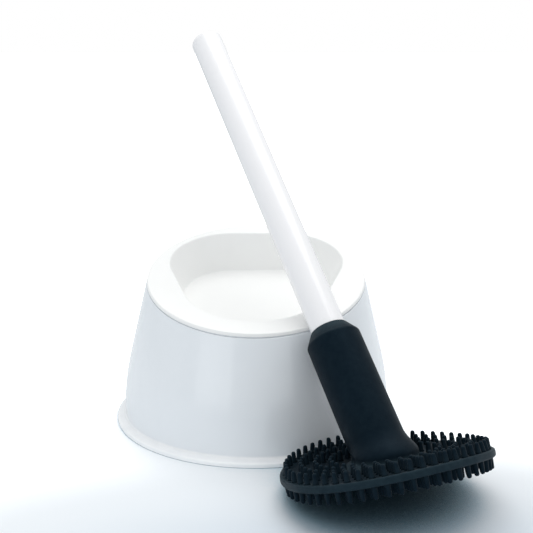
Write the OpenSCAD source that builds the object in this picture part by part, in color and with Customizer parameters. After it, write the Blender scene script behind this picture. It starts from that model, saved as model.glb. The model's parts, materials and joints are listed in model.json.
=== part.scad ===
// Toilet plunger with a flexible studded disc, leaning on its bell-shaped caddy.
// Units are millimetres. +Z is up, the floor is z = 0 and the origin is the centre
// of the whole set's footprint. -Y is the caddy's low front, +Y its high back.

/* [Caddy shell] */
// how far the foot flange stands out past the wall
flange_w = 6; // [3:0.5:20]
// thickness of the flange's outer edge
foot_edge_t = 3; // [2:0.5:6]
// thickness of the flange where it meets the wall
foot_root_t = 4.5; // [3:0.5:8]
// outer radius of the wall above the flange
wall_r = 96.5; // [84:0.5:112]
// height at which the wall starts to lean inwards
lean_z = 9; // [6:0.5:20]
// height at which the wall's curve ends and the straight cone starts
cone_z = 48.5; // [30:0.5:70]
// radius of the wall's curve
lean_r = 170; // [120:1:260]
// wall thickness of the shell
shell_t = 2.4; // [1.6:0.1:4]
// height of the sloping top plane, measured on the axis
top_h = 108; // [90:1:140]
// slope of the top plane, low at the front
top_slope = 15.2; // [0:0.1:20]

/* [Caddy insert] */
// thickness of the insert's rim plate
rim_t = 2.2; // [1.5:0.1:4]
// width of the rim at the well's two sides
rim_side_w = 14; // [8:0.1:22]
// width of the rim behind the well's straight back edge
rim_back_w = 14.3; // [8:0.1:22]
// width of the rim in front of the well's round front edge
rim_front_w = 16.4; // [8:0.1:24]
// radius of the mouth's two back corners
well_corner_r = 45; // [30:1:50]
// radius of the mouth's front arc
well_front_r = 52; // [40:1:60]
// depth of the well, square to the top plane
well_depth = 28.5; // [15:0.5:40]
// how far the well's wall leans inwards over that depth
well_draft = 8.7; // [2:0.1:12]
// wall thickness of the insert
insert_t = 2.2; // [1.5:0.1:3.5]
// depth of the skirt that locates the insert inside the shell
skirt_h = 6; // [3:0.5:12]

/* [Handle] */
// outer radius of the handle tube
handle_r = 11.5; // [9:0.1:14]
// wall thickness of the handle tube
tube_t = 1.8; // [1:0.1:3]
// distance from the disc's centre to the handle's top, along the handle
handle_top = 353; // [250:1:450]
// radius of the rounded edge at the handle's top
handle_edge_r = 4; // [1:0.5:8]
// how deep the plug reaches into the tube's lower end
plug_h = 34; // [15:1:60]

/* [Rubber head] */
// rubber thickness of the sleeve outside the socket
sleeve_wall = 4; // [1.5:0.1:8]
// start of the sleeve, along the handle from the disc's centre
sleeve_start = 18; // [17:0.5:26]
// length of the sleeve along the handle
sleeve_h = 78.5; // [50:0.5:120]
// length of the sleeve's bevelled top end
bevel_h = 8.5; // [3:0.5:14]
// thickness of rubber left at the thin end of the bevel
bevel_lip = 0.8; // [0.3:0.1:2]
// wall thickness of the stiff socket inside the sleeve
socket_wall = 2.5; // [1:0.1:4]
// rubber left between the socket's top end and the sleeve's bevel
socket_cover = 9; // [3:0.5:30]
// thickness of the socket's floor
socket_floor_t = 3; // [2:0.5:6]
// how far the neck widens from the sleeve to the disc
neck_flare = 5; // [1:0.5:12]

/* [Rubber disc] */
// radius of the disc
disc_r = 65; // [50:0.5:80]
// thickness of the disc
disc_t = 4.6; // [3:0.1:8]
// slope of the disc along its length when bent as it stands, at each end
disc_bend = 11; // [2:0.5:16]
// distance from the disc's edge to its outermost ring of studs
stud_edge = 4; // [2.5:0.1:10]
// distance from one stud to the next round a ring
stud_pitch = 7.19; // [5.5:0.01:12]
// distance from one ring of studs to the next
stud_ring_step = 9.2; // [6:0.1:14]
// clear space between the neck and the nearest ring of studs
stud_clear = 4.5; // [1:0.1:10]
// radius of a stud at its foot
stud_foot_r = 1.8; // [1:0.1:2.5]
// radius of a stud at its round tip
stud_tip_r = 1.45; // [0.8:0.1:2]
// height of the studs on the upper face
stud_h_up = 6.6; // [3:0.1:10]
// height of the studs on the lower face
stud_h_down = 7; // [3:0.1:10]

/* [Pose of the set] */
// place of the caddy's axis to the left of the footprint's centre
caddy_left = 21.1; // [0:0.1:60]
// place of the caddy's axis behind the footprint's centre
caddy_back = 53.1; // [20:0.1:90]
// bearing of the head from the caddy's axis, turned from the front to the right
head_bearing = 28.7; // [0:0.1:60]
// clear space between the foot flange and the tilted disc's edge, seen from above
head_gap = 1.9; // [0:0.1:20]
// clear space under the lowest stud
floor_gap = 0.15; // [0:0.05:1]
// clear space between the handle and the rim it leans over
lean_gap = 0.45; // [0.2:0.05:1]
// direction of the lean, turned from straight back towards the left
lean_turn = 28.3; // [0:0.1:60]
// tilt of the disc from level
disc_tilt = 16.3; // [5:0.1:30]

/* [Hidden] */
eps = 0.01;
big = 400;
seam = 0.6;
skirt_gap = 0.3;
neck_gap = 0.2;

// the shell's foot and cone: radius = cone_r0 - z * tan(lean_a)
foot_r = wall_r + flange_w;
lean_a = asin((cone_z - lean_z) / lean_r);
cone_r0 = wall_r - lean_r + lean_r * cos(lean_a)
    + (lean_z + lean_r * sin(lean_a)) * tan(lean_a);
cone_end = top_h + foot_r;

// height and radius at which the cone meets the sloping top plane; back is 1
// straight behind the axis, 0 beside it and -1 in front of it
function edge_z(back) = (top_h + back * tan(top_slope) * cone_r0)
    / (1 + back * tan(top_slope) * tan(lean_a));
function edge_r(back) = cone_r0 - edge_z(back) * tan(lean_a);

// the well's mouth, measured in the top plane from the caddy's axis
well_half_w = edge_r(0) - rim_side_w;
well_back = edge_r(1) / cos(top_slope) - rim_back_w;
well_front = edge_r(-1) / cos(top_slope) - rim_front_w;

// radii and stations along the handle, from the disc's centre
socket_r = handle_r + socket_wall;
sleeve_r = socket_r + sleeve_wall;
neck_r = sleeve_r + neck_flare;
sleeve_end = sleeve_start + sleeve_h;
socket_start = sleeve_start + 4;
socket_h = sleeve_end - bevel_h - socket_cover - socket_start;
tube_start = socket_start + socket_floor_t;

// the disc and its rings of studs
disc_top = disc_t / 2;
bend_r = disc_r / (disc_bend * PI / 180);
stud_outer_r = disc_r - stud_edge;
stud_rings = 1 + floor((stud_outer_r - neck_r - stud_clear) / stud_ring_step);

// the disc just clears the flange, the lowest stud just clears the floor
head_reach = foot_r + disc_r * cos(disc_tilt) + head_gap;
head_x = head_reach * sin(head_bearing);
head_front = head_reach * cos(head_bearing);
low_bend = stud_outer_r / bend_r * 180 / PI;
low_r = bend_r + disc_top + stud_h_down - stud_tip_r;
head_z = floor_gap + stud_tip_r + low_r * sin(low_bend) * sin(disc_tilt)
    - (bend_r - low_r * cos(low_bend)) * cos(disc_tilt);

// the handle leans so far that it just clears the rim's edge
rim_out = head_reach - edge_r(-cos(head_bearing));
rim_up = edge_z(-cos(head_bearing)) - head_z;
handle_lean = acos((handle_r + lean_gap) / norm([rim_out, rim_up])) - atan2(rim_up, rim_out);

white = [0.93, 0.94, 0.95];
warm_white = [0.96, 0.96, 0.95];
rubber = [0.06, 0.09, 0.12];
stiff = [0.55, 0.57, 0.6];

// ---------------------------------------------------------------- caddy

// outline of the bell, from the axis to the wall, taken in by inset
module bell_outline(inset) {
    r = lean_r - inset;
    square([wall_r - inset, lean_z]);
    intersection() {
        translate([wall_r - lean_r, lean_z]) circle(r = r, $fn = 200);
        translate([0, lean_z - eps]) square([wall_r, r * sin(lean_a) + eps]);
    }
    foot = [wall_r - lean_r + r * cos(lean_a), lean_z + r * sin(lean_a)];
    rise = cone_end - foot[1];
    polygon([[0, foot[1] - eps], [foot[0], foot[1]],
             [foot[0] - rise * tan(lean_a), cone_end], [0, cone_end]]);
}

module bell(inset) rotate_extrude($fn = 200) bell_outline(inset);

// moves a piece from the caddy's axis to its place in the set
module at_caddy() translate([-caddy_left, caddy_back, 0]) children();

// moves a piece from the level frame onto the sloping top plane
module on_top_plane() translate([0, 0, top_h]) rotate([top_slope, 0, 0]) children();

// a thick slab that lies under the sloping plane, from depth to depth + t
module slab(depth, t) on_top_plane()
    translate([-big / 2, -big / 2, -depth - t]) cube([big, big, t]);

// the foot flange, with a top face that falls outwards
module foot_flange() rotate_extrude($fn = 200)
    polygon([[wall_r - shell_t, 0], [foot_r, 0], [foot_r, foot_edge_t],
             [wall_r - eps, foot_root_t], [wall_r - shell_t, foot_root_t]]);

module caddy_shell() color(white) at_caddy() difference() {
    union() {
        difference() {
            bell(0);
            translate([0, 0, -1]) bell_core();
        }
        foot_flange();
    }
    slab(rim_t - big / 2, big / 2);
    seam_rebate();
}

// the shell's hollow, carried on below the floor so that the cut is clean
module bell_core() {
    translate([0, 0, 1]) bell(shell_t);
    cylinder(r = wall_r - shell_t, h = 2, $fn = 200);
}

// a fine step around the shell's top edge that shows as the seam
module seam_rebate() difference() {
    slab(rim_t - eps, seam);
    bell(0.8);
}

// three round corners of the well's mouth, each [x, y, r]
function mouth_corners(inset) = [
    [0, -(well_front - well_front_r), well_front_r - inset],
    [well_half_w - well_corner_r, well_back - well_corner_r, well_corner_r - inset],
    [-(well_half_w - well_corner_r), well_back - well_corner_r, well_corner_r - inset]];

// the well as a solid plug that tapers with depth, in the top plane's frame
module well_plug(inset, top, depth) hull() for (c = mouth_corners(inset))
    translate([c[0], c[1], -depth])
        cylinder(r1 = c[2] - well_draft * depth / well_depth,
                 r2 = c[2] + well_draft * top / well_depth,
                 h = depth + top, $fn = 96);

module caddy_insert() color(warm_white) at_caddy() difference() {
    union() {
        intersection() {
            bell(0);
            slab(0, rim_t);
        }
        intersection() {
            difference() {
                bell(shell_t + skirt_gap);
                bell(shell_t + skirt_gap + insert_t);
            }
            slab(rim_t - eps, skirt_h);
        }
        on_top_plane() well_plug(-insert_t, -rim_t / 2, well_depth + insert_t);
    }
    on_top_plane() well_plug(0, 2, well_depth);
}

// ---------------------------------------------------------------- plunger

// moves a piece from the disc's centre to its place in the set
module at_head() at_caddy() translate([head_x, -head_front, head_z]) children();

// frame along the handle: origin at the disc's centre, +Z up the handle
module along_handle() at_head()
    rotate([0, 0, lean_turn - 90]) rotate([0, -handle_lean, 0]) children();

// frame of the disc: +Z square to the disc, +X towards its raised side
module on_disc() at_head()
    rotate([0, 0, lean_turn - 90]) rotate([0, -disc_tilt, 0]) children();

// a tube closed at the top, with a rounded edge there
module handle_tube() color(warm_white) along_handle() rotate_extrude($fn = 96)
    difference() {
        union() {
            translate([0, tube_start])
                square([handle_r, handle_top - handle_edge_r - tube_start]);
            translate([0, tube_start]) square([handle_r - handle_edge_r, handle_top - tube_start]);
            translate([handle_r - handle_edge_r, handle_top - handle_edge_r])
                intersection() {
                    circle(r = handle_edge_r, $fn = 64);
                    square(handle_edge_r);
                }
        }
        translate([-eps, tube_start - 1])
            square([handle_r - tube_t + eps, handle_top - tube_start - handle_edge_r + 1]);
    }

// the plug that closes the tube's lower end and takes the push
module handle_plug() color(stiff) along_handle() translate([0, 0, tube_start])
    cylinder(r = handle_r - tube_t, h = plug_h, $fn = 96);

// the stiff cup inside the rubber sleeve that the tube is pressed into
module head_socket() color(stiff) along_handle() translate([0, 0, socket_start])
    difference() {
        cylinder(r = socket_r, h = socket_h, $fn = 96);
        translate([0, 0, socket_floor_t]) cylinder(r = handle_r, h = socket_h, $fn = 96);
    }

module rubber_sleeve() color(rubber) along_handle() difference() {
    rotate_extrude($fn = 96) polygon([
        [0, sleeve_start], [sleeve_r, sleeve_start], [sleeve_r, sleeve_end - bevel_h],
        [handle_r + bevel_lip, sleeve_end], [0, sleeve_end]]);
    translate([0, 0, socket_start]) cylinder(r = socket_r, h = socket_h, $fn = 96);
    translate([0, 0, socket_start]) cylinder(r = handle_r, h = sleeve_end, $fn = 96);
}

// the neck that bends between the sleeve and the disc
module rubber_neck() color(rubber) difference() {
    hull() {
        along_handle() translate([0, 0, sleeve_start - 1]) cylinder(r = sleeve_r, h = 1, $fn = 64);
        on_disc() translate([0, 0, disc_top]) cylinder(r = neck_r, h = 2, $fn = 64);
    }
    on_disc() bent_slab(-30, disc_top + neck_gap);
}

// layer of the bent disc between two heights above its mid-surface
module bent_slab(low, high) translate([0, 0, bend_r]) rotate([90, 0, 0]) difference() {
    cylinder(r = bend_r - low, h = 3 * disc_r, center = true, $fn = 200);
    cylinder(r = bend_r - high, h = 3 * disc_r + 2, center = true, $fn = 200);
    translate([-2 * bend_r, 0, -2 * disc_r]) cube([4 * bend_r, 2 * bend_r, 4 * disc_r]);
}

// one stud, standing up from z = 0 with its foot sunk a little
module stud(h) {
    translate([0, 0, -0.6])
        cylinder(r1 = stud_foot_r, r2 = stud_tip_r, h = h - stud_tip_r + 0.6, $fn = 24);
    translate([0, 0, h - stud_tip_r]) sphere(r = stud_tip_r, $fn = 24);
}

// places children square to the bent disc, r from its centre in direction a
module at_disc_point(r, a) {
    bend = r * cos(a) / bend_r * 180 / PI;
    translate([0, r * sin(a), bend_r]) rotate([0, -bend, 0]) translate([0, 0, -bend_r]) children();
}

// rings of studs on one face, each ring half a step round from the last;
// side is 1 for the upper face and -1 for the lower
module studs(h, side) for (ring = [0 : stud_rings - 1]) {
    r = stud_outer_r - ring * stud_ring_step;
    count = round(2 * PI * r / stud_pitch);
    for (i = [0 : count - 1])
        at_disc_point(r, (i + ring / 2) * 360 / count)
            mirror([0, 0, side < 0 ? 1 : 0]) translate([0, 0, disc_top]) stud(h);
}

module rubber_disc() color(rubber) on_disc() {
    intersection() {
        bent_slab(-disc_top, disc_top);
        cylinder(r = disc_r, h = 4 * disc_t + disc_r, center = true, $fn = 200);
    }
    studs(stud_h_up, 1);
    studs(stud_h_down, -1);
}

caddy_shell();
caddy_insert();
handle_tube();
handle_plug();
head_socket();
rubber_sleeve();
rubber_neck();
rubber_disc();
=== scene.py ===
"""Toilet plunger with a flexible studded disc, leaning on its bell-shaped caddy.

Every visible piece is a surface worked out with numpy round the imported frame.
Lengths are in metres and angles in radians. +Z is up and -Y is the caddy's front.
"""

import json
import math

import bpy
import numpy as np
from bpy.props import FloatProperty, FloatVectorProperty, IntProperty, PointerProperty
from mathutils import Matrix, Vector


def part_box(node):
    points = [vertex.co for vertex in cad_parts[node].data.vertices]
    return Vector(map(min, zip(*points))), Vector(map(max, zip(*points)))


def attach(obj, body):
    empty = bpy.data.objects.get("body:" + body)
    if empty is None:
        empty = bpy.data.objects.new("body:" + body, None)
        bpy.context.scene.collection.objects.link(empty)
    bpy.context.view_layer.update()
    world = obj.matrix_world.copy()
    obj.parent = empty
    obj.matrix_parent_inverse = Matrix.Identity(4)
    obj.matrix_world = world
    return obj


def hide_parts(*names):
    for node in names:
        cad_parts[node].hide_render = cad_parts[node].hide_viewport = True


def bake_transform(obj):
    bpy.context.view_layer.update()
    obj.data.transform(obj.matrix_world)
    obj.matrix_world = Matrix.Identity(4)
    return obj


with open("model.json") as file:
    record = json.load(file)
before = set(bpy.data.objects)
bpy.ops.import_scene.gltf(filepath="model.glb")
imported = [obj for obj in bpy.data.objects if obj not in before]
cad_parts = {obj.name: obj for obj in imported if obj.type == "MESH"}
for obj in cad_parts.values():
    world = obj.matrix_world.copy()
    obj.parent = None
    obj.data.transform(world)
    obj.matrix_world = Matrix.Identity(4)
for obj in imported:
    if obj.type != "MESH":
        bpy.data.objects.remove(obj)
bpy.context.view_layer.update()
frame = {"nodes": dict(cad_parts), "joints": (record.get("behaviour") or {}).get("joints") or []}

bl_info = {
    "name": "Plunger and Caddy",
    "version": (1, 0, 0),
    "blender": (4, 5, 0),
    "location": "3D View > Sidebar > Plunger",
    "description": "Makes a studded disc plunger and the caddy that it leans on",
    "category": "Object",
}

MM = 0.001


# ---------------------------------------------------------------- places

def middle(node):
    """Middle of a CAD node's box, from its lowest and highest corners."""
    low, high = (np.array(corner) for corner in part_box(node))
    return (low + high) / 2


def hinge():
    """Centre of the disc and the direction of its hinge axis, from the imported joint."""
    joint = next(j for j in frame["joints"] if j["name"] == "disc_flex")
    return np.array(joint["pos_m"], float), np.array(joint["axis"], float)


CADDY_AXIS = middle("caddy_shell")[:2]
HEAD, HINGE_AXIS = hinge()


def leaning_frame(lean):
    """Three unit vectors, as rows, of a frame that leans in the plunger's upright plane.

    The second is the hinge axis turned round, and the third is upright, turned about it
    by the lean: cos(lean) up plus sin(lean) towards the caddy. The first completes them.
    """
    side = -HINGE_AXIS / np.linalg.norm(HINGE_AXIS)
    up = np.array([0.0, 0.0, 1.0])
    out = np.cross(side, up)
    along = math.cos(lean) * up - math.sin(lean) * out
    return np.stack([np.cross(side, along), side, along])


def placed(points, axes, origin):
    """Points of a local frame taken to the row frame: x, y and z times its three axes."""
    return points @ axes + origin


# ---------------------------------------------------------------- sizes and colours

def length(name, text, mm, low=0.0, high=1000.0):
    """A length property with its default in millimetres."""
    return FloatProperty(name=name, description=text, default=mm * MM,
                         min=low * MM, max=high * MM, unit="LENGTH", precision=4)


def angle(name, text, degrees):
    """An angle property with its default in degrees."""
    return FloatProperty(name=name, description=text, default=math.radians(degrees),
                         subtype="ANGLE", unit="ROTATION")


def colour(name, text, value):
    """A colour property with a linear default."""
    return FloatVectorProperty(name=name, description=text, default=value,
                               subtype="COLOR", min=0.0, max=1.0, size=3)


class CaddySizes(bpy.types.PropertyGroup):
    """Sizes of the bell-shaped shell and of the tray that closes it."""

    wall_r: length("Wall radius", "Outer radius of the wall above the flange", 96.5)
    flange_w: length("Flange width", "How far the flange stands out past the wall", 6)
    flange_edge: length("Flange edge", "Thickness of the flange's outer edge", 3)
    flange_root: length("Flange root", "Thickness of the flange at the wall", 4.5)
    lean_z: length("Lean start", "Height at which the wall starts to lean inwards", 9)
    cone_z: length("Cone start", "Height at which the wall's straight cone starts", 48.5)
    lean_r: length("Lean radius", "Radius of the wall's curve in section", 170)
    shell_t: length("Shell wall", "Wall thickness of the shell", 2.4)
    top_h: length("Top height", "Height of the sloping top plane on the axis", 108)
    top_slope: angle("Top slope", "Slope of the top plane, low at the front", 15.2)
    seam: length("Seam", "Height of the fine gap under the tray's rim", 0.8)
    seam_depth: length("Seam depth", "Depth of the fine gap under the tray's rim", 1.1)
    rim_t: length("Rim thickness", "Thickness of the tray's rim plate", 2.2)
    mouth_half_w: length("Mouth half-width", "Half-width of the well's mouth", 63.63)
    mouth_back: length("Mouth back", "Axis to the mouth's straight back edge", 61.24)
    mouth_front: length("Mouth front", "Axis to the mouth's round front edge", 69.63)
    corner_r: length("Corner radius", "Radius of the mouth's two back corners", 45)
    front_r: length("Front radius", "Radius of the mouth's front arc", 52)
    depth: length("Well depth", "Depth of the well, square to the top plane", 28.5)
    draft: length("Well draft", "How far the well's wall leans in over its depth", 8.7)
    tray_t: length("Tray wall", "Wall thickness of the tray", 2.2)
    skirt_h: length("Skirt height", "Depth of the skirt that locates the tray", 6)
    skirt_gap: length("Skirt gap", "Clear space between the skirt and the shell", 0.3)


class PlungerSizes(bpy.types.PropertyGroup):
    """Sizes of the handle and of the rubber sleeve and neck."""

    handle_lean: angle("Handle lean", "Lean of the handle from upright", 45.14)
    handle_r: length("Handle radius", "Outer radius of the handle tube", 11.5)
    tube_t: length("Tube wall", "Wall thickness of the handle tube", 1.8)
    tube_start: length("Tube start", "Lower end of the tube, from the disc's centre", 25)
    handle_top: length("Handle top", "Top of the handle, from the disc's centre", 353)
    edge_r: length("Edge radius", "Radius of the rounded edge at the top", 4.2)
    sleeve_r: length("Sleeve radius", "Outer radius of the rubber sleeve", 18)
    sleeve_start: length("Sleeve start", "Lower end of the straight sleeve", 18)
    sleeve_end: length("Sleeve end", "Upper end of the sleeve", 96.5)
    bevel_h: length("Bevel length", "Length of the sleeve's bevelled end", 8.5)
    bevel_lip: length("Bevel lip", "Rubber left at the thin end of the bevel", 0.8)
    socket_r: length("Socket radius", "Outer radius of the socket in the sleeve", 14)
    socket_start: length("Socket start", "Lower end of the socket", 22)
    socket_end: length("Socket end", "Upper end of the socket", 79)
    hub_r: length("Hub radius", "Radius of the low hub that stands on the disc", 20.6)
    hub_h: length("Hub height", "Height of the hub above the disc's mid-surface", 7.5)
    foot_r: length("Foot radius", "Radius at which the hub's foot meets the disc", 26)


class DiscSizes(bpy.types.PropertyGroup):
    """Sizes of the rubber disc and of its rings of studs."""

    tilt: angle("Disc tilt", "Tilt of the disc from level", 16.3)
    radius: length("Disc radius", "Radius of the disc", 65)
    thickness: length("Disc thickness", "Thickness of the disc", 4.6)
    bend: angle("Disc bend", "Slope that the disc's curve reaches at its ends", 11)
    stud_edge: length("Stud edge", "Disc's edge to the outermost ring of studs", 4)
    stud_pitch: length("Stud pitch", "One stud to the next round a ring", 7.19)
    ring_step: length("Ring step", "One ring of studs to the next", 9.2)
    rings: IntProperty(name="Rings", description="Rings of studs on each face",
                       default=4, min=1, max=6)
    foot_r: length("Stud foot", "Radius of a stud near its foot", 1.8)
    tip_r: length("Stud tip", "Radius of a stud near its round tip", 1.45)
    up_h: length("Upper studs", "Height of the studs on the upper face", 6.6)
    down_h: length("Lower studs", "Height of the studs on the lower face", 7)
    sway: angle("Stud sway", "Most that a stud leans out of true", 3.5)


class SetColours(bpy.types.PropertyGroup):
    """Colours of the mouldings and of the rubber."""

    shell: colour("Shell", "Cool white of the shell", (0.80, 0.83, 0.86))
    tray: colour("Tray", "Warm white of the tray", (0.90, 0.90, 0.89))
    tube: colour("Tube", "White of the handle", (0.90, 0.89, 0.90))
    core: colour("Core", "Grey of the hidden stiff pieces", (0.45, 0.46, 0.48))
    rubber: colour("Rubber", "Blue-black of the rubber", (0.0022, 0.0065, 0.0112))
    # This pale colour is the rubber's rubbed film and also the painted highlight on the disc's
    # rim, the sleeve's bevel and the stud tips.
    bloom_and_highlight: colour("Bloom", "Pale bloom on the rubber's rubbed edges", (0.045, 0.075, 0.09))
    floor: colour("Floor", "Pale floor", (0.84, 0.87, 0.90))


class StageSettings(bpy.types.PropertyGroup):
    """Camera and light of the studio."""

    camera_at: FloatVectorProperty(
        name="Camera", description="Place of the camera from the caddy's axis",
        default=(7.45 * MM, -717.55 * MM, 277.45 * MM), subtype="TRANSLATION",
        unit="LENGTH", size=3)
    camera_down: angle("Camera pitch", "How far the camera looks down", 13.06)
    lens: FloatProperty(name="Lens", description="Focal length on a 36 mm sensor",
                        default=68.8, min=10.0, max=300.0)
    key: FloatProperty(name="Key light", description="Power of the light overhead",
                       default=4.9, min=0.0, unit="POWER")
    fill: FloatProperty(name="Front light", description="Power of the light at the front left",
                        default=1.15, min=0.0, unit="POWER")
    side: FloatProperty(name="Side light", description="Power of the strip beside it",
                        default=0.35, min=0.0, unit="POWER")
    sky: FloatProperty(name="Sky", description="Brightness of the light all round",
                       default=0.72, min=0.0, max=5.0)


class PlungerSet(bpy.types.PropertyGroup):
    """Everything that a user would change."""

    caddy: PointerProperty(type=CaddySizes)
    plunger: PointerProperty(type=PlungerSizes)
    disc: PointerProperty(type=DiscSizes)
    colours: PointerProperty(type=SetColours)
    stage: PointerProperty(type=StageSettings)


# ---------------------------------------------------------------- surfaces

def unit(vectors):
    """Vectors divided by their lengths."""
    return vectors / np.linalg.norm(vectors, axis=-1, keepdims=True)


def turn(count):
    """Evenly spaced angles of one turn."""
    return np.arange(count) * (2 * np.pi / count)


def round_corner(before, corner, after, radius, steps):
    """Points of one rounded corner, for every section at once.

    The arc turns by the angle t between the two straights. It starts
    radius * tan(t / 2) before the corner, its centre lies radius / cos(t / 2) from the
    corner along the bisector, and its points swing evenly from start to end. A point
    on each straight next to the arc keeps the shading of the flat clean.
    """
    come, go = unit(corner - before), unit(after - corner)
    half = np.arccos(np.clip((come * go).sum(-1, keepdims=True), -1, 1)) / 2
    room = 0.45 * np.minimum(np.linalg.norm(corner - before, axis=-1, keepdims=True),
                             np.linalg.norm(after - corner, axis=-1, keepdims=True))
    reach = np.minimum(radius * np.tan(half), room)
    centre = corner + unit(go - come) * reach / np.sin(half)
    start, end = corner - come * reach, corner + go * reach
    share = np.linspace(0, 1, steps + 1)[None, :, None]
    swing = 2 * half[:, None]
    arc = (np.sin((1 - share) * swing) * (start - centre)[:, None]
           + np.sin(share * swing) * (end - centre)[:, None]) / np.sin(swing)
    margin = np.minimum(0.3 * reach, 0.05 * room)
    return np.concatenate([(start - come * margin)[:, None], centre[:, None] + arc,
                           (end + go * margin)[:, None]], axis=1)


def carry_profile(corners, radii, closed=False, steps=7):
    """A profile through corners of shape (sections, corners, 3), each rounded by its radius."""
    count = corners.shape[1]
    columns = []
    for i, radius in enumerate(radii):
        end = not closed and i in (0, count - 1)
        if radius == 0 or end:
            columns.append(corners[:, i:i + 1])
        else:
            columns.append(round_corner(corners[:, i - 1], corners[:, i],
                                        corners[:, (i + 1) % count], radius, steps))
    return np.concatenate(columns, axis=1)


def spun(profile, sections):
    """A profile of (radius, height) pairs turned about the local Z axis."""
    a = turn(sections)[:, None]
    r, h = profile[None, :, 0], profile[None, :, 1]
    return np.stack(np.broadcast_arrays(r * np.cos(a), r * np.sin(a), h), axis=-1)


def spun_rounded(profile, sections):
    """A profile turned about Z, given as pairs of (radius, height) and rounding radius."""
    corners = spun(np.array([place for place, _ in profile]), sections)
    return carry_profile(corners, [radius for _, radius in profile])


def woven_faces(grid, closed):
    """Faces between the columns of a grid of vertex numbers that closes round its rows.

    Each face joins four neighbours; where a column is a pole, it joins three.
    """
    across = np.roll(grid, -1, axis=0)
    nxt = np.roll(grid, -1, axis=1) if closed else grid[:, 1:]
    nxt_across = np.roll(across, -1, axis=1) if closed else across[:, 1:]
    if not closed:
        grid, across = grid[:, :-1], across[:, :-1]
    quads = np.stack([grid, nxt, nxt_across, across], axis=-1).reshape(-1, 4)
    first_pole = quads[:, 0] == quads[:, 3]
    last_pole = quads[:, 1] == quads[:, 2]
    full = ~(first_pole | last_pole)
    return quads[full], np.concatenate([quads[first_pole][:, :3],
                                        quads[last_pole][:, [0, 1, 3]]])


def numbered(points, poles):
    """Vertex numbers for a grid of points; a pole's column shares one number."""
    sections, count = points.shape[:2]
    first, last = poles
    inner = points[:, int(first):count - int(last)]
    vertices = inner.reshape(-1, 3)
    grid = np.arange(len(vertices)).reshape(inner.shape[:2])
    if first:
        grid = np.hstack([np.full((sections, 1), len(vertices)), grid])
        vertices = np.concatenate([vertices, points[:, 0].mean(0)[None]])
    if last:
        grid = np.hstack([grid, np.full((sections, 1), len(vertices))])
        vertices = np.concatenate([vertices, points[:, -1].mean(0)[None]])
    return grid, vertices


def enclosed(vertices, triangles):
    """Signed volume of closed triangles: the sum of a . (b x c) / 6 over them."""
    a, b, c = (vertices[triangles[:, i]] for i in range(3))
    return float((a * np.cross(b, c)).sum() / 6)


def add_piece(name, vertices, quads, triangles, material, wear_and_highlight=None):
    """Puts a closed surface into a mesh object, with its faces pointing outwards."""
    cut = np.concatenate([quads[:, [0, 1, 2]], quads[:, [0, 2, 3]], triangles])
    if enclosed(vertices - vertices.mean(0), cut) < 0:
        quads, triangles = quads[:, ::-1], triangles[:, ::-1]
    mesh = bpy.data.meshes.new(name)
    mesh.from_pydata(vertices.tolist(), [], quads.tolist() + triangles.tolist())
    mesh.validate()
    mesh.polygons.foreach_set("use_smooth", np.ones(len(mesh.polygons), bool))
    if wear_and_highlight is not None:
        layer = mesh.attributes.new("wear_and_highlight", "FLOAT", "POINT")
        layer.data.foreach_set("value", wear_and_highlight.astype(np.float32))
    mesh.materials.append(material)
    piece = bpy.data.objects.new(name, mesh)
    bpy.context.scene.collection.objects.link(piece)
    return piece


def add_woven(name, points, material, closed=False, poles=(False, False), wear_and_highlight=None):
    """Makes a piece from a grid of points; the optional shares, of rubbing and painted
    highlight, are a grid to match.
    """
    grid, vertices = numbered(points, poles)
    quads, triangles = woven_faces(grid, closed)
    if wear_and_highlight is not None:
        wear_and_highlight = numbered(np.repeat(wear_and_highlight[..., None], 3, axis=-1), poles)[1][:, 0]
    return add_piece(name, vertices, quads, triangles, material, wear_and_highlight)


# ---------------------------------------------------------------- caddy shapes

def cone_of(sizes, inset):
    """Radius at z = 0 of the wall's straight cone, taken in by inset, and its slope.

    The lean is asin((cone start - lean start) / lean radius), and the cone is tangent
    to the arc of that radius, so radius = start - z * tan(lean).
    """
    lean = math.asin((sizes.cone_z - sizes.lean_z) / sizes.lean_r)
    r = sizes.lean_r - inset
    foot = sizes.wall_r - sizes.lean_r + r * math.cos(lean)
    height = sizes.lean_z + r * math.sin(lean)
    return foot + height * math.tan(lean), math.tan(lean)


def wall_profile(sizes, inset, steps):
    """Radius and height of the wall's arc, taken in by inset, from the foot upwards."""
    lean = math.asin((sizes.cone_z - sizes.lean_z) / sizes.lean_r)
    a = np.linspace(0, lean, steps)
    r = sizes.lean_r - inset
    return np.stack([sizes.wall_r - sizes.lean_r + r * np.cos(a),
                     sizes.lean_z + r * np.sin(a)], axis=-1)


def cone_edge(sizes, a, inset, depth):
    """Radius and height, at bearings a, where the cone meets the top plane lowered by depth.

    Height is top + y * tan(slope) - depth / cos(slope) with y = radius * sin(bearing),
    and radius is start - height * tan(lean); the two are solved for the height.
    """
    start, lean = cone_of(sizes, inset)
    rise = math.tan(sizes.top_slope) * np.sin(a)
    top = sizes.top_h - depth / math.cos(sizes.top_slope)
    height = (top + rise * start) / (1 + rise * lean)
    return start - height * lean, height


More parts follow.
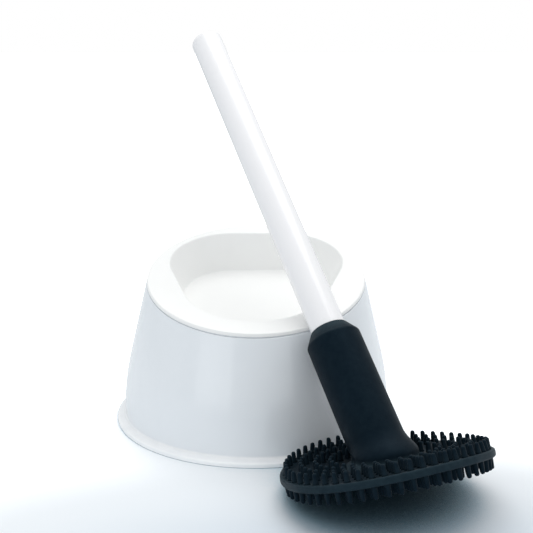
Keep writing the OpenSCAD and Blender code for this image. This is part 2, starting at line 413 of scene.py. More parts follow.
def shell_points(sizes, sections=224):
    """The shell: a closed profile carried round the caddy's axis.

    It runs up the flange's rounded edge and the wall's arc and cone to the sloping top,
    steps in at the seam, and comes down inside by the wall thickness. Each part of the
    profile comes with the radius, in millimetres, that rounds its corners.
    """
    a = turn(sections)
    arc_steps, outer_climb, inner_climb = 18, 5, 3
    foot_r = sizes.wall_r + sizes.flange_w
    inner_r = sizes.wall_r - sizes.shell_t

    def level(r, z):
        return np.broadcast_to([r, z], (sections, 1, 2))

    def rows(profile):
        return np.broadcast_to(profile, (sections,) + profile.shape)

    def edge(inset, depth):
        return np.stack(cone_edge(sizes, a, inset, depth), axis=-1)[:, None]

    def climb(low, high, steps):
        share = np.linspace(0, 1, steps + 2)[1:-1][None, :, None]
        return low + (high - low) * share

    outer = wall_profile(sizes, 0, arc_steps)
    inner = wall_profile(sizes, sizes.shell_t, arc_steps)
    seam_at = sizes.rim_t + sizes.seam
    top, shelf = edge(0, seam_at), edge(sizes.seam_depth, seam_at)
    lip, inside = edge(sizes.seam_depth, sizes.rim_t), edge(sizes.shell_t, sizes.rim_t)
    parts = [
        (level(foot_r, 0), 0.5), (level(foot_r, sizes.flange_edge), 1.3),
        (level(sizes.wall_r, sizes.flange_root), 1.8),
        (rows(outer), 0), (climb(rows(outer[-1:]), top, outer_climb), 0), (top, 0.5),
        (shelf, 0.15), (lip, 0.15), (inside, 0.3),
        (climb(inside, rows(inner[-1:]), inner_climb), 0), (rows(inner[::-1]), 0),
        (level(inner_r, 0), 0.3),
    ]
    corners = np.concatenate([p for p, _ in parts], axis=1)
    radii = [r * MM for p, r in parts for _ in range(p.shape[1])]
    r, z = corners[..., 0], corners[..., 1]
    points = np.stack([CADDY_AXIS[0] + r * np.cos(a)[:, None],
                       CADDY_AXIS[1] + r * np.sin(a)[:, None], z], axis=-1)
    return carry_profile(points, radii, closed=True, steps=6)


def mouth_outline(sizes, pitch=1.4 * MM, straight_pitch=4.2 * MM):
    """The well's mouth as points and outward normals, in the top plane.

    It is the outline round three circles: three arcs joined by their outer tangents.
    Two circles' shared tangent has the normal whose dot with the line between centres
    is the difference of the radii. An outline offset by d is a point plus d normals.
    """
    side = sizes.mouth_half_w - sizes.corner_r
    back = sizes.mouth_back - sizes.corner_r
    front = -(sizes.mouth_front - sizes.front_r)
    across = np.array([side, back - front])
    join = (math.atan2(across[1], across[0])
            - math.acos((sizes.front_r - sizes.corner_r) / np.linalg.norm(across)))
    arcs = [((0.0, front), sizes.front_r, -math.pi - join, join),
            ((side, back), sizes.corner_r, join, math.pi / 2),
            ((-side, back), sizes.corner_r, math.pi / 2, math.pi - join)]
    points, normals = [], []
    for i, (centre, r, start, end) in enumerate(arcs):
        a = np.linspace(start, end, int(r * (end - start) / pitch))
        out = np.stack([np.cos(a), np.sin(a)], axis=-1)
        points.append(centre + r * out)
        normals.append(out)
        to_centre, to_r = arcs[(i + 1) % 3][:2]
        goal = np.array(to_centre) + to_r * out[-1]
        run = np.linalg.norm(goal - points[-1][-1])
        share = np.linspace(0, 1, max(int(run / straight_pitch), 2) + 1)[1:-1, None]
        points.append(points[-1][-1] + (goal - points[-1][-1]) * share)
        normals.append(np.broadcast_to(out[-1], (len(share), 2)))
    return np.concatenate(points), np.concatenate(normals)


def on_top_plane(sizes, flat, depth):
    """Points of the top plane, lowered square to it by depth, in the row frame."""
    s = sizes.top_slope
    p, q = flat[..., 0], flat[..., 1]
    return np.stack([CADDY_AXIS[0] + p,
                     CADDY_AXIS[1] + q * math.cos(s) + depth * math.sin(s),
                     sizes.top_h + q * math.sin(s) - depth * math.cos(s)], axis=-1)


def rim_outline(sizes, bearing, inset, depth):
    """Points of the top plane at depth where it meets the cone, at each bearing.

    With p = reach cos(bearing) and q = reach sin(bearing), the distance from the axis
    squared equals the cone's radius squared at that height, a quadratic in reach.
    """
    s, (start, lean) = sizes.top_slope, cone_of(sizes, inset)
    c, d = np.cos(bearing), np.sin(bearing)
    here = start - lean * (sizes.top_h - depth * math.cos(s))
    u, v = d * math.cos(s), lean * d * math.sin(s)
    qa = c ** 2 + u ** 2 - v ** 2
    qb = 2 * (u * depth * math.sin(s) + v * here)
    qc = (depth * math.sin(s)) ** 2 - here ** 2
    reach = (-qb + np.sqrt(qb ** 2 - 4 * qa * qc)) / (2 * qa)
    return np.stack([reach * c, reach * d], axis=-1)


def tray_points(sizes):
    """The tray: a profile carried round the well's outline.

    From the middle of the floor it runs out to the wall, up to the mouth's rounded lip,
    over the rim plate to the cone, down the rim's edge, under it to the skirt, and back
    under the well to the middle. Each corner comes with its radius in millimetres.
    """
    mouth, out = mouth_outline(sizes)
    bearing = np.arctan2(mouth[:, 1], mouth[:, 0])
    heart = np.array([0.0, (sizes.mouth_back - sizes.mouth_front) / 2])
    t, deep = sizes.tray_t, sizes.depth
    slant = sizes.draft / deep

    def well(offset, depth):
        return on_top_plane(sizes, mouth + out * (offset - slant * depth), depth)

    def rim(inset, depth):
        return on_top_plane(sizes, rim_outline(sizes, bearing, inset, depth), depth)

    def centre(depth):
        return on_top_plane(sizes, np.broadcast_to(heart, mouth.shape), depth)

    skirt = sizes.shell_t + sizes.skirt_gap
    low = sizes.rim_t + sizes.skirt_h
    parts = [
        (centre(deep), 0), (well(0, deep), 1.2), (well(0, 0), 1.5), (rim(0, 0), 1.1),
        (rim(0, sizes.rim_t), 0.25), (rim(skirt, sizes.rim_t), 0.2),
        (rim(skirt, low), 0.3), (rim(skirt + t, low), 0.3),
        (rim(skirt + t, sizes.rim_t), 0.4), (well(t, sizes.rim_t), 0.8),
        (well(t, deep + t), 3.0), (centre(deep + t), 0),
    ]
    corners = np.stack([p for p, _ in parts], axis=1)
    return carry_profile(corners, [r * MM for _, r in parts], steps=7)


# ---------------------------------------------------------------- plunger shapes

def handle_points(sizes, sections=96):
    """The handle: a tube closed at the top, turned about its axis.

    The end is crowned by half a millimetre and its edge is rounded. The inside follows
    at the wall's thickness, open at the lower end.
    """
    r, top, start = sizes.handle_r, sizes.handle_top, sizes.tube_start
    bore_r, bore_top = r - sizes.tube_t, top - 4 * MM
    crown, end_round, bore_round = 0.5 * MM, 0.4 * MM, 1.5 * MM
    stations = np.linspace(top - 12 * MM, start + 6 * MM, 14)
    profile = [((0, top), 0), ((0.45 * r, top - 0.12 * crown), 0),
               ((r, top - crown), sizes.edge_r)]
    profile += [((r, s), 0) for s in stations]
    profile += [((r, start), end_round), ((bore_r, start), end_round),
                ((bore_r, bore_top), bore_round), ((0, bore_top), 0)]
    return placed(spun_rounded(profile, sections), leaning_frame(sizes.handle_lean), HEAD)


def bent(points, bend_r):
    """Points of the flat disc laid on a cylinder of radius bend_r above it.

    x becomes an angle x / bend_r, and z shortens the radius.
    """
    x, y, z = (points[..., i] for i in range(3))
    a = x / bend_r
    return np.stack([(bend_r - z) * np.sin(a), y, bend_r - (bend_r - z) * np.cos(a)], axis=-1)


def sleeve_profile(plunger, sections):
    """The sleeve on its own axis, from its inner floor round its bevel to its lower end.

    Inside it steps in from the socket to the handle. Each corner comes with the radius,
    in millimetres, that rounds it.
    """
    r, top = plunger.sleeve_r, plunger.sleeve_end
    socket_r, handle_r = plunger.socket_r, plunger.handle_r
    shoulder = top - plunger.bevel_h
    profile = [((0, plunger.socket_start), 0), ((socket_r, plunger.socket_start), 0.5),
               ((socket_r, plunger.socket_end), 0.5), ((handle_r, plunger.socket_end), 0.3),
               ((handle_r, top), 0.25), ((handle_r + plunger.bevel_lip, top), 0.45),
               ((r, shoulder), 3.0)]
    stations = np.linspace(shoulder - 7 * MM, plunger.sleeve_start, 16)
    profile += [((r, s), 0) for s in stations]
    return spun_rounded([(place, radius * MM) for place, radius in profile], sections)


def boot_points(plunger, disc, sections=128):
    """The sleeve and neck: rings about the handle that turn into rings about the disc.

    The sleeve is a profile turned about the handle's axis. Below it each meridian is a
    cubic curve, (1-v)^3 A + 3v(1-v)^2 B + 3v^2(1-v) C + v^3 D, which leaves the sleeve
    along the handle and lands on the hub square to the disc. The hub's foot then rounds
    out onto the disc. It is closed inside round the socket and handle.
    """
    axes, disc_axes = leaning_frame(plunger.handle_lean), leaning_frame(disc.tilt)
    upper = placed(sleeve_profile(plunger, sections), axes, HEAD)

    bend_r = disc.radius / disc.bend
    a = turn(sections)[:, None]
    ring = np.concatenate([np.cos(a), np.sin(a), 0 * a], axis=1)

    def on_disc(radius, height):
        flat = ring * radius + np.array([0, 0, height])
        return placed(bent(flat, bend_r), disc_axes, HEAD)

    start, hub = upper[:, -1], on_disc(plunger.hub_r, plunger.hub_h)
    span = np.linalg.norm(hub - start, axis=-1, keepdims=True)
    sleeve_pull, hub_pull = 0.42 * span, 0.42 * 0.6 * span
    v = np.linspace(0, 1, 15)[1:, None]
    b, c = start - axes[2] * sleeve_pull, hub + disc_axes[2] * hub_pull
    cubic = [(1 - v) ** 3, 3 * v * (1 - v) ** 2, 3 * v ** 2 * (1 - v), v ** 3]
    neck = sum(w[None] * p[:, None] for w, p in zip(cubic, (start, b, c, hub)))

    surface = disc.thickness / 2
    sunk = surface - 0.5 * MM
    foot = [(hub, 0), (on_disc(plunger.hub_r + 0.3 * MM, surface + 2.6 * MM), 1.4),
            (on_disc(plunger.foot_r, surface + 0.1 * MM), 1.2),
            (on_disc(plunger.foot_r + 0.4 * MM, sunk), 0.2), (on_disc(0, sunk), 0)]
    below = carry_profile(np.stack([p for p, _ in foot], axis=1),
                          [q * MM for _, q in foot])[:, 1:]

    # The sleeve turns pale up its bevel: a painted highlight where the bevel meets the light, on
    # the rubber's rubbed film; the hub's foot keeps a steady rubbed film.
    along = (upper - HEAD) @ axes[2]
    bevel_start = plunger.sleeve_end - plunger.bevel_h - 1 * MM
    foot_wear = 0.75
    wear_and_highlight = np.concatenate([np.clip((along - bevel_start) / plunger.bevel_h, 0, 1),
                           np.zeros(neck.shape[:2]),
                           np.full(below.shape[:2], foot_wear)], axis=1)
    return np.concatenate([upper, neck, below], axis=1), wear_and_highlight


def plate_points(disc, sections=192):
    """The disc without its studs: a flat round plate with a rounded edge, then bent.

    Its paleness, a rubbed film plus a painted highlight on the rim, is slight on the faces and
    rises over the last few millimetres to the edge.
    """
    h, r = disc.thickness / 2, disc.radius
    edge_round, flat_r = 1.3 * MM, r - 4 * MM
    rings = np.linspace(0, flat_r, 16)
    profile = [((q, h), 0) for q in rings]
    profile += [((r, h), edge_round), ((r, -h), edge_round)]
    profile += [((q, -h), 0) for q in rings[::-1]]
    points = spun_rounded(profile, sections)
    reach = np.hypot(points[..., 0], points[..., 1])
    wear_and_highlight = 0.1 + 0.5 * np.clip((reach - (r - 5 * MM)) / (4 * MM), 0, 1)
    return placed(bent(points, r / disc.bend), leaning_frame(disc.tilt), HEAD), wear_and_highlight


def stud_places(disc, inner_limit):
    """Place of every stud of one face: rings a step apart, each turned half a step."""
    places = []
    for ring in range(disc.rings):
        r = disc.radius - disc.stud_edge - ring * disc.ring_step
        if r < inner_limit:
            break
        count = round(2 * math.pi * r / disc.stud_pitch)
        a = (np.arange(count) + ring / 2) * (2 * math.pi / count)
        places.append(np.stack([r * np.cos(a), r * np.sin(a)], axis=-1))
    return np.concatenate(places)


def stud_grid(disc, height, face, inner_limit, draws, sides=8):
    """Every stud of one face at once, as (stud, side, level, 3).

    A stud is a round taper that starts just inside the plate: its radius falls from a
    small fillet to the foot's and then the tip's, and closes over in a low dome. Each
    one leans a little out of true, in proportion to the height above the plate.
    """
    places = stud_places(disc, inner_limit)
    foot, tip, h = disc.foot_r, disc.tip_r, height
    sunk, fillet, fillet_h = 0.6 * MM, 0.5 * MM, 0.8 * MM
    levels = np.array([(0, -sunk), (foot + fillet, -0.4 * MM), (foot, fillet_h),
                       (tip, h - 0.85 * tip), (0.86 * tip, h - 0.38 * tip),
                       (0.5 * tip, h - 0.08 * tip), (0, h)])
    local = spun(levels, sides)
    lean = draws.uniform(-1, 1, (len(places), 1, 1, 2)) * math.tan(disc.sway)
    local = np.broadcast_to(local, (len(places),) + local.shape).copy()
    above = np.clip(local[..., 2:3], 0, None)
    local[..., :2] += lean * above + places[:, None, None, :]
    local[..., 2] = face * (disc.thickness / 2 + local[..., 2])
    # Pale at the stud feet and tips: a rubbed film, and at the tips also a painted highlight.
    at_foot = np.clip(1 - levels[:, 1] / (2 * fillet_h), 0, 1)
    tip_rub_and_highlight = np.clip((levels[:, 1] - 0.8 * h) / (0.2 * h), 0, 1)
    wear_and_highlight = np.broadcast_to(0.35 * at_foot + 0.25 * tip_rub_and_highlight, local.shape[:3])
    points = placed(bent(local, disc.radius / disc.bend), leaning_frame(disc.tilt), HEAD)
    return points, wear_and_highlight


def add_studs(name, points, wear_and_highlight, material):
    """Puts all studs of one face into one piece, with a pole at each foot and tip."""
    studs, sides, levels = points.shape[:3]
    single, _ = numbered(points[0], (True, True))
    quads, triangles = woven_faces(single, False)
    each = sides * (levels - 2) + 2
    step = (np.arange(studs) * each)[:, None, None]
    body = points[:, :, 1:-1].reshape(studs, -1, 3)
    vertices = np.concatenate([body, points[:, :1, 0], points[:, :1, -1]], axis=1)
    shares = np.concatenate([wear_and_highlight[:, :, 1:-1].reshape(studs, -1), wear_and_highlight[:, :1, 0],
                             wear_and_highlight[:, :1, -1]], axis=1)
    return add_piece(name, vertices.reshape(-1, 3), (quads[None] + step).reshape(-1, 4),
                     (triangles[None] + step).reshape(-1, 3), material, shares.ravel())


# ---------------------------------------------------------------- finishes

def new_group(name, inputs, outputs):
    """An empty shader group with named inputs, outputs and its two end nodes."""
    group = bpy.data.node_groups.new(name, "ShaderNodeTree")
    for label, kind, value in inputs:
        socket = group.interface.new_socket(name=label, in_out="INPUT", socket_type=kind)
        socket.default_value = value
    for label, kind in outputs:
        group.interface.new_socket(name=label, in_out="OUTPUT", socket_type=kind)
    nodes = group.nodes
    return group, nodes.new("NodeGroupInput"), nodes.new("NodeGroupOutput")


def add_node(tree, kind, inputs=(), **settings):
    """Adds a node, sets its options, and fills its inputs with values or links."""
    node = tree.nodes.new(kind)
    for key, value in settings.items():
        setattr(node, key, value)
    for key, value in dict(inputs).items():
        if isinstance(value, bpy.types.NodeSocket):
            tree.links.new(value, node.inputs[key])
        else:
            node.inputs[key].default_value = value
    return node


def eased(tree, value, low, high):
    """A share that eases from 0 to 1 as a value goes from low to high."""
    return add_node(tree, "ShaderNodeMapRange",
                    {"Value": value, "From Min": low, "From Max": high},
                    interpolation_type="SMOOTHSTEP").outputs["Result"]


def product(tree, first, second):
    """Two shares multiplied."""
    return add_node(tree, "ShaderNodeMath", {0: first, 1: second},
                    operation="MULTIPLY").outputs[0]


def moulding_grain():
    """Fine moulded texture: broad soft waves plus a fine noise, as one height."""
    group, start, end = new_group(
        "Moulding grain",
        [("Fine scale", "NodeSocketFloat", 1800.0), ("Wave scale", "NodeSocketFloat", 28.0),
         ("Fine share", "NodeSocketFloat", 0.3)],
        [("Height", "NodeSocketFloat"), ("Patch", "NodeSocketFloat")])
    place = add_node(group, "ShaderNodeTexCoord").outputs["Object"]
    fine = add_node(group, "ShaderNodeTexNoise",
                    {"Vector": place, "Scale": start.outputs["Fine scale"], "Detail": 3.0,
                     "Roughness": 0.6})
    wave = add_node(group, "ShaderNodeTexNoise",
                    {"Vector": place, "Scale": start.outputs["Wave scale"], "Detail": 2.0,
                     "Roughness": 0.45})
    share = product(group, fine.outputs["Fac"], start.outputs["Fine share"])
    height = add_node(group, "ShaderNodeMath", {0: wave.outputs["Fac"], 1: share},
                      operation="ADD")
    group.links.new(height.outputs[0], end.inputs["Height"])
    group.links.new(wave.outputs["Fac"], end.inputs["Patch"])
    return group


def marks_and_highlight():
    """Rubbed or dusty places and painted highlights: the surface's own share from its attribute,
    broken up by noise.
    """
    group, start, end = new_group(
        "Marks and painted highlight",
        [("Scale", "NodeSocketFloat", 160.0), ("Amount", "NodeSocketFloat", 1.0),
         ("Haze", "NodeSocketFloat", 0.1)],
        [("Mask", "NodeSocketFloat")])
    place = add_node(group, "ShaderNodeTexCoord").outputs["Object"]
    noise = add_node(group, "ShaderNodeTexNoise",
                     {"Vector": place, "Scale": start.outputs["Scale"], "Detail": 5.0,
                      "Roughness": 0.62})
    spread = add_node(group, "ShaderNodeMapRange",
                      {"Value": noise.outputs["Fac"], "From Min": 0.32, "From Max": 0.68})
    # The attribute's share carries rubbing and also painted highlights: the shell's pale foot
    # and the rubber's lit rim, bevel and stud tips.
    wear_and_highlight_input = add_node(group, "ShaderNodeAttribute", attribute_name="wear_and_highlight")
    rubbed = product(group, wear_and_highlight_input.outputs["Fac"], start.outputs["Amount"])
    haze = product(group, spread.outputs["Result"], start.outputs["Haze"])
    broken = add_node(group, "ShaderNodeMapRange",
                      {"Value": spread.outputs["Result"], "To Min": 0.65, "To Max": 1.0})
    both = add_node(group, "ShaderNodeMath",
                    {0: rubbed, 1: broken.outputs["Result"], 2: haze},
                    operation="MULTIPLY_ADD", use_clamp=True)
    group.links.new(both.outputs[0], end.inputs["Mask"])
    return group


def shared_group(tree, name, make, values):
    """A node that uses the group of that name, made once, with its inputs filled."""
    group = bpy.data.node_groups.get(name) or make()
    node = add_node(tree, "ShaderNodeGroup", node_tree=group)
    for key, value in values.items():
        node.inputs[key].default_value = value
    return node


def mixed_colour(tree, share, first, second, blend="MIX"):
    """A mix of two colours, each a tuple or a socket, by a share."""
    return add_node(tree, "ShaderNodeMix", {0: share, 6: first, 7: second},
                    data_type="RGBA", blend_type=blend).outputs[2]


def finish_material(name, tone, mark_and_highlight_tone, grain, marks, rough, bump, gloss):
    """A moulded finish: grain for the bump and roughness, marks and painted highlights for the
    colour.

    grain and marks fill the two groups' inputs, rough is the roughness at the two ends
    of the grain's patches, bump is the relief's strength and its height in metres, and
    gloss sets the shader's own sockets.
    """
    material = bpy.data.materials.new(name)
    material.use_nodes = True
    tree = material.node_tree
    shader = tree.nodes["Principled BSDF"]
    for key, value in gloss.items():
        shader.inputs[key].default_value = value
    grain_node = shared_group(tree, "Moulding grain", moulding_grain, grain)
    marks_and_highlight_node = shared_group(tree, "Marks and painted highlight", marks_and_highlight, marks)
    tint = mixed_colour(tree, marks_and_highlight_node.outputs["Mask"], (*tone, 1), (*mark_and_highlight_tone, 1))
    tree.links.new(tint, shader.inputs["Base Color"])
    smooth, dull = rough
    patch = add_node(tree, "ShaderNodeMapRange",
                     {"Value": grain_node.outputs["Patch"], "From Min": 0.3, "From Max": 0.7,
                      "To Min": smooth, "To Max": dull})
    tree.links.new(patch.outputs["Result"], shader.inputs["Roughness"])
    strength, relief_h = bump
    relief = add_node(tree, "ShaderNodeBump",
                      {"Strength": strength, "Distance": relief_h,
                       "Height": grain_node.outputs["Height"]})
    tree.links.new(relief.outputs["Normal"], shader.inputs["Normal"])
    return material


def darker(tone, share):
    """A colour times a share."""
    return tuple(share * channel for channel in tone)


def shell_finish():
    """Gloss white of the shell, a little wavy as thick mouldings are; its foot is painted paler,
    a painted highlight on the flange.
    """
    tone = tuple(settings().colours.shell)
    return finish_material(
        # The pale colour paints the flange's highlight, and also the random pale haze.
        "gloss_white_shell", tone, mark_and_highlight_tone=(0.96, 0.97, 0.98),
        grain={"Fine scale": 900.0, "Wave scale": 16.0, "Fine share": 0.05},
        marks={"Scale": 60.0, "Amount": 1.0, "Haze": 0.06},
        rough=(0.16, 0.24), bump=(0.10, 0.6 * MM),
        gloss={"Coat Weight": 0.35, "Coat Roughness": 0.07, "Specular IOR Level": 0.5})


def tray_finish():
    """Satin white of the tray."""
    tone = tuple(settings().colours.tray)
    return finish_material(
        "satin_white_tray", tone, mark_and_highlight_tone=darker(tone, 0.94),
        grain={"Fine scale": 1500.0, "Wave scale": 24.0, "Fine share": 0.25},
        marks={"Scale": 70.0, "Amount": 0.4, "Haze": 0.10},
        rough=(0.34, 0.44), bump=(0.08, 0.4 * MM), gloss={"Specular IOR Level": 0.45})


def tube_finish():
    """Gloss white of the handle."""
    tone = tuple(settings().colours.tube)
    return finish_material(
        "gloss_white_tube", tone, mark_and_highlight_tone=darker(tone, 0.95),
        grain={"Fine scale": 1200.0, "Wave scale": 30.0, "Fine share": 0.08},
        marks={"Scale": 90.0, "Amount": 0.3, "Haze": 0.10},
        rough=(0.17, 0.25), bump=(0.05, 0.4 * MM),
        gloss={"Coat Weight": 0.4, "Coat Roughness": 0.06, "Specular IOR Level": 0.5})


def rubber_finish():
    """Matte blue-black rubber, pale where it is rubbed, with painted highlights in the same pale
    colour on the disc's rim, the sleeve's bevel and the stud tips.
    """
    colours = settings().colours
    name = "blue_black_rubber"
    return bpy.data.materials.get(name) or finish_material(
        name, tuple(colours.rubber), mark_and_highlight_tone=tuple(colours.bloom_and_highlight),
        grain={"Fine scale": 1400.0, "Wave scale": 70.0, "Fine share": 0.6},
        marks={"Scale": 220.0, "Amount": 0.42, "Haze": 0.05},
        rough=(0.46, 0.60), bump=(0.25, 0.5 * MM),
        gloss={"Specular IOR Level": 0.10, "Specular Tint": (0.4, 0.7, 1.0, 1)})


def core_finish():
    """Plain stiff plastic of the pieces that the rubber hides."""
    tone = tuple(settings().colours.core)
    name = "stiff_core_plastic"
    return bpy.data.materials.get(name) or finish_material(
        name, tone, mark_and_highlight_tone=darker(tone, 0.8),
        grain={"Fine scale": 1000.0, "Wave scale": 40.0, "Fine share": 0.4},
        marks={"Scale": 120.0, "Amount": 0.4, "Haze": 0.2},
        rough=(0.42, 0.58), bump=(0.12, 0.4 * MM), gloss={"Specular IOR Level": 0.4})


def floor_finish(tone, painted_shade_at):
    """Pale floor, white far away, with painted shade: a darker blue-grey oval round a place in
    front of the set.

    The oval distance from that middle eases the painted shade from blue-grey to the pale tone,
    and past its edge adds the white that the camera sees. Where the sky is hidden from the
    floor, the tone falls through blue-grey to near black as painted shadow, and no white is
    added.
    """
    material = bpy.data.materials.new("pale_floor")
    material.use_nodes = True
    tree = material.node_tree
    shader = tree.nodes["Principled BSDF"]
    shader.inputs["Roughness"].default_value = 0.6
    shader.inputs["Specular IOR Level"].default_value = 0.2
    shader.inputs["Emission Color"].default_value = (1, 1, 1, 1)

    place = add_node(tree, "ShaderNodeTexCoord").outputs["Object"]
    away = add_node(tree, "ShaderNodeVectorMath", {0: place, 1: tuple(painted_shade_at)},
                    operation="SUBTRACT").outputs["Vector"]
    oval = add_node(tree, "ShaderNodeVectorMath", {0: away, 1: (0.6, 1.0, 0.0)},
                    operation="MULTIPLY").outputs["Vector"]
    distance = add_node(tree, "ShaderNodeVectorMath", {0: oval},
                        operation="LENGTH").outputs["Value"]
    # Painted shade: blue-grey near the oval's middle, where the light falls off towards the
    # front.
    painted_shade_tone = (0.56, 0.64, 0.72, 1)
    painted_falloff = mixed_colour(tree, eased(tree, distance, 0.02, 0.18), painted_shade_tone, (*tone, 1))

    # Painted shadow: the occlusion darkens the floor's colour to near black under the disc and
    # beside the set.
    shade = add_node(tree, "ShaderNodeAmbientOcclusion", {"Distance": 0.07}, samples=8)
    open_air = eased(tree, shade.outputs["AO"], 0.12, 0.62)
    painted_shadow_ramp = add_node(tree, "ShaderNodeValToRGB", {"Fac": open_air})
    painted_shadow_ramp.color_ramp.elements[0].color = (0.035, 0.075, 0.105, 1)
    painted_shadow_ramp.color_ramp.elements[1].color = (1.0, 1.0, 1.0, 1)
    painted_shadow_ramp.color_ramp.elements.new(0.5).color = (0.46, 0.66, 0.75, 1)
    painted_shadow_colour = mixed_colour(tree, 1.0, painted_falloff, painted_shadow_ramp.outputs["Color"], blend="MULTIPLY")
    tree.links.new(painted_shadow_colour, shader.inputs["Base Color"])

    bright = eased(tree, distance, 0.16, 0.29)
    clear = eased(tree, shade.outputs["AO"], 0.55, 0.98)
    ray = add_node(tree, "ShaderNodeLightPath")
    seen = product(tree, bright, ray.outputs["Is Camera Ray"])
    tree.links.new(product(tree, seen, clear), shader.inputs["Emission Strength"])
    return material


# ---------------------------------------------------------------- operators

def settings():
    """The set's sizes, colours and stage settings."""
    return bpy.context.scene.plunger_set


class PLUNGER_OT_stage(bpy.types.Operator):
    """Make the pale floor, the soft lights and the camera"""

    bl_idname = "plunger_set.stage"
    bl_label = "Stage"

    def execute(self, context):
        stage = settings().stage
        axis = np.array([*CADDY_AXIS, 0.0])
        scene = context.scene
        scene.view_settings.view_transform = "Standard"
        scene.view_settings.look = "None"

        camera = bpy.data.objects.new("set_camera", bpy.data.cameras.new("set_camera"))
        camera.data.sensor_width = 36.0
        camera.data.lens = stage.lens
        camera.data.clip_start, camera.data.clip_end = 0.02, 60.0
        camera.location = axis + np.array(stage.camera_at)
        camera.rotation_euler = (math.pi / 2 - stage.camera_down, 0.0, 0.0)
        scene.collection.objects.link(camera)
        scene.camera = camera

        scene.world = self.make_air(stage.sky)
        self.add_floor(scene, axis, tuple(settings().colours.floor))
        self.add_light(scene, "key_softbox", place=axis + (0.10, 0.12, 1.0),
                       target=axis + (0.02, -0.05, 0.0), size=(1.0, 0.8),
                       power=stage.key, tint=(1.0, 0.99, 0.97))
        self.add_light(scene, "front_softbox", place=axis + (-0.60, -0.85, 0.25),
                       target=axis + (0.0, -0.05, 0.05), size=(0.6, 0.6),
                       power=stage.fill, tint=(0.97, 0.99, 1.0))
        self.add_light(scene, "side_strip", place=axis + (0.75, -0.15, 0.65),
                       target=axis + (0.05, -0.05, 0.12), size=(0.12, 0.9),
                       power=stage.side, tint=(1.0, 1.0, 1.0))
        return {"FINISHED"}

    def make_air(self, strength):
        """The light all round, seen as plain white behind the set."""
        world = bpy.data.worlds.new("studio_air")
        world.use_nodes = True
        tree = world.node_tree
        air = tree.nodes["Background"]
        air.inputs["Color"].default_value = (0.95, 0.98, 1.0, 1)
        air.inputs["Strength"].default_value = strength
        seen = add_node(tree, "ShaderNodeBackground", {"Color": (1, 1, 1, 1), "Strength": 1.0})
        ray = add_node(tree, "ShaderNodeLightPath")
        mixed = add_node(tree, "ShaderNodeMixShader",
                         {0: ray.outputs["Is Camera Ray"], 1: air.outputs[0],
                          2: seen.outputs[0]})
        tree.links.new(mixed.outputs[0], tree.nodes["World Output"].inputs["Surface"])
        return world

    def add_floor(self, scene, axis, tone):
        """A level square, with the painted shade of its finish centred in front of the plunger's
        head.
        """
        half = 12.0
        corners = np.array([(-1, -1, 0), (1, -1, 0), (1, 1, 0), (-1, 1, 0)]) * half
        mesh = bpy.data.meshes.new("studio_floor")
        mesh.from_pydata((corners + axis).tolist(), [], [(0, 1, 2, 3)])
        floor = bpy.data.objects.new("studio_floor", mesh)
        scene.collection.objects.link(floor)
        mesh.materials.append(floor_finish(tone, painted_shade_at=axis + (0.08, -0.275, 0.0)))

    def add_light(self, scene, name, place, target, size, power, tint):
        """A rectangular softbox at place that faces target, its width kept level."""
        data = bpy.data.lights.new(name, "AREA")
        data.shape = "RECTANGLE"
        data.size, data.size_y = size
        data.energy = power
        data.color = tint
        light = bpy.data.objects.new(name, data)
        aim = unit(place - target)
        side = unit(np.cross((0.0, 0.0, 1.0), aim))
        up = np.cross(aim, side)
        pose = np.eye(4)
        pose[:3, :3] = np.stack([side, up, aim], axis=1)
        pose[:3, 3] = place
        light.matrix_world = Matrix(pose.tolist())
        scene.collection.objects.link(light)


class PLUNGER_OT_shell(bpy.types.Operator):
    """Make the caddy's bell-shaped shell with its foot flange"""

    bl_idname = "plunger_set.shell"
    bl_label = "Caddy shell"

    def execute(self, context):
        points = shell_points(settings().caddy)
        # Painted highlight: below the flange's top the shell fades to its pale colour, so the
        # flange looks lit.
        highlight_below, highlight_fade = 6 * MM, 1.2 * MM
        wear_and_highlight = np.clip((highlight_below - points[..., 2]) / highlight_fade, 0, 1)
        shell = add_woven("caddy_bell", points, shell_finish(), closed=True, wear_and_highlight=wear_and_highlight)
        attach(shell, "caddy")
        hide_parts("caddy_shell")
        return {"FINISHED"}


class PLUNGER_OT_tray(bpy.types.Operator):
    """Make the tray with the rim and the sloping well"""

    bl_idname = "plunger_set.tray"
    bl_label = "Caddy tray"

    def execute(self, context):
        points = tray_points(settings().caddy)
        tray = add_woven("caddy_tray", points, tray_finish(), poles=(True, True),
                         wear_and_highlight=np.zeros(points.shape[:2]))
        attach(tray, "caddy")
        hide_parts("caddy_insert")
        return {"FINISHED"}


class PLUNGER_OT_handle(bpy.types.Operator):
    """Make the round handle"""

    bl_idname = "plunger_set.handle"
    bl_label = "Handle"

    def execute(self, context):
        points = handle_points(settings().plunger)
        handle = add_woven("handle_grip", points, tube_finish(), poles=(True, True),
                           wear_and_highlight=np.zeros(points.shape[:2]))
        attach(handle, "plunger")
        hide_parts("handle_tube")
        return {"FINISHED"}


class PLUNGER_OT_boot(bpy.types.Operator):
    """Make the rubber sleeve and the neck that bends down to the disc"""

    bl_idname = "plunger_set.boot"
    bl_label = "Rubber sleeve and neck"

    def execute(self, context):
        plunger, disc = settings().plunger, settings().disc
        points, wear_and_highlight = boot_points(plunger, disc)
        boot = add_woven("rubber_boot", points, rubber_finish(), poles=(True, True), wear_and_highlight=wear_and_highlight)
        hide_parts("rubber_sleeve", "rubber_neck")
        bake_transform(boot)
        return {"FINISHED"}


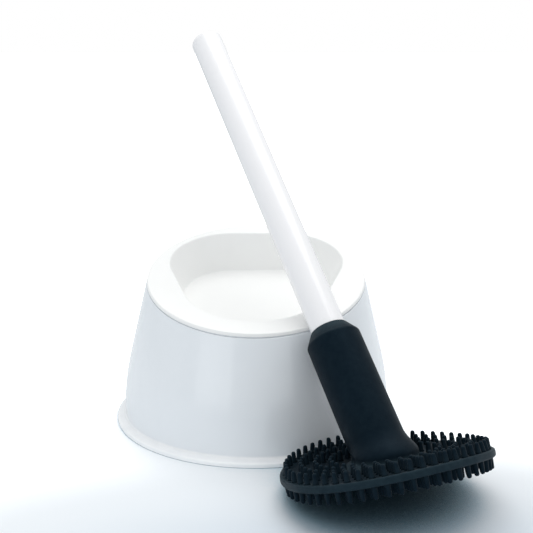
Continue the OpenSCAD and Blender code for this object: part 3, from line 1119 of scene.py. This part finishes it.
class PLUNGER_OT_disc(bpy.types.Operator):
    """Make the rubber disc with the studs on both of its faces"""

    bl_idname = "plunger_set.disc"
    bl_label = "Studded disc"

    def execute(self, context):
        disc, plunger = settings().disc, settings().plunger
        points, wear_and_highlight = plate_points(disc)
        plate = add_woven("disc_plate", points, rubber_finish(), poles=(True, True), wear_and_highlight=wear_and_highlight)
        draws = np.random.default_rng(7)
        limit = plunger.foot_r + disc.foot_r
        pieces = [plate]
        rows = (("upper_studs", disc.up_h, 1), ("lower_studs", disc.down_h, -1))
        for name, height, face in rows:
            studs, shares = stud_grid(disc, height, face, limit, draws)
            pieces.append(add_studs(name, studs, shares, rubber_finish()))
        for piece in pieces:
            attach(piece, "disc")
        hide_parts("rubber_disc")
        return {"FINISHED"}


class PLUNGER_OT_core(bpy.types.Operator):
    """Give the hidden plug and socket their plain stiff plastic"""

    bl_idname = "plunger_set.core"
    bl_label = "Plug and socket"

    def execute(self, context):
        for name in ("handle_plug", "head_socket"):
            node = frame["nodes"][name]
            if node.material_slots:
                node.material_slots[0].material = core_finish()
            else:
                node.data.materials.append(core_finish())
        return {"FINISHED"}


class PLUNGER_PT_set(bpy.types.Panel):
    """The set's pieces and their sizes"""

    bl_label = "Plunger and Caddy"
    bl_idname = "PLUNGER_PT_set"
    bl_space_type = "VIEW_3D"
    bl_region_type = "UI"
    bl_category = "Plunger"

    def draw(self, context):
        layout = self.layout
        values = settings()
        for operator in OPERATORS:
            layout.operator(operator.bl_idname)
        for group in (values.caddy, values.plunger, values.disc, values.colours, values.stage):
            box = layout.box()
            for name in group.__annotations__:
                box.prop(group, name)


GROUPS = (CaddySizes, PlungerSizes, DiscSizes, SetColours, StageSettings, PlungerSet)
OPERATORS = (PLUNGER_OT_stage, PLUNGER_OT_shell, PLUNGER_OT_tray, PLUNGER_OT_handle,
             PLUNGER_OT_boot, PLUNGER_OT_disc, PLUNGER_OT_core)
CLASSES = GROUPS + OPERATORS + (PLUNGER_PT_set,)


def register():
    for cls in CLASSES:
        bpy.utils.register_class(cls)
    bpy.types.Scene.plunger_set = PointerProperty(type=PlungerSet)


def unregister():
    del bpy.types.Scene.plunger_set
    for cls in reversed(CLASSES):
        bpy.utils.unregister_class(cls)


def main():
    """Makes every piece in order."""
    register()
    bpy.ops.plunger_set.stage()
    bpy.ops.plunger_set.shell()
    bpy.ops.plunger_set.tray()
    bpy.ops.plunger_set.handle()
    bpy.ops.plunger_set.boot()
    bpy.ops.plunger_set.disc()
    bpy.ops.plunger_set.core()


if __name__ == "__main__":
    main()
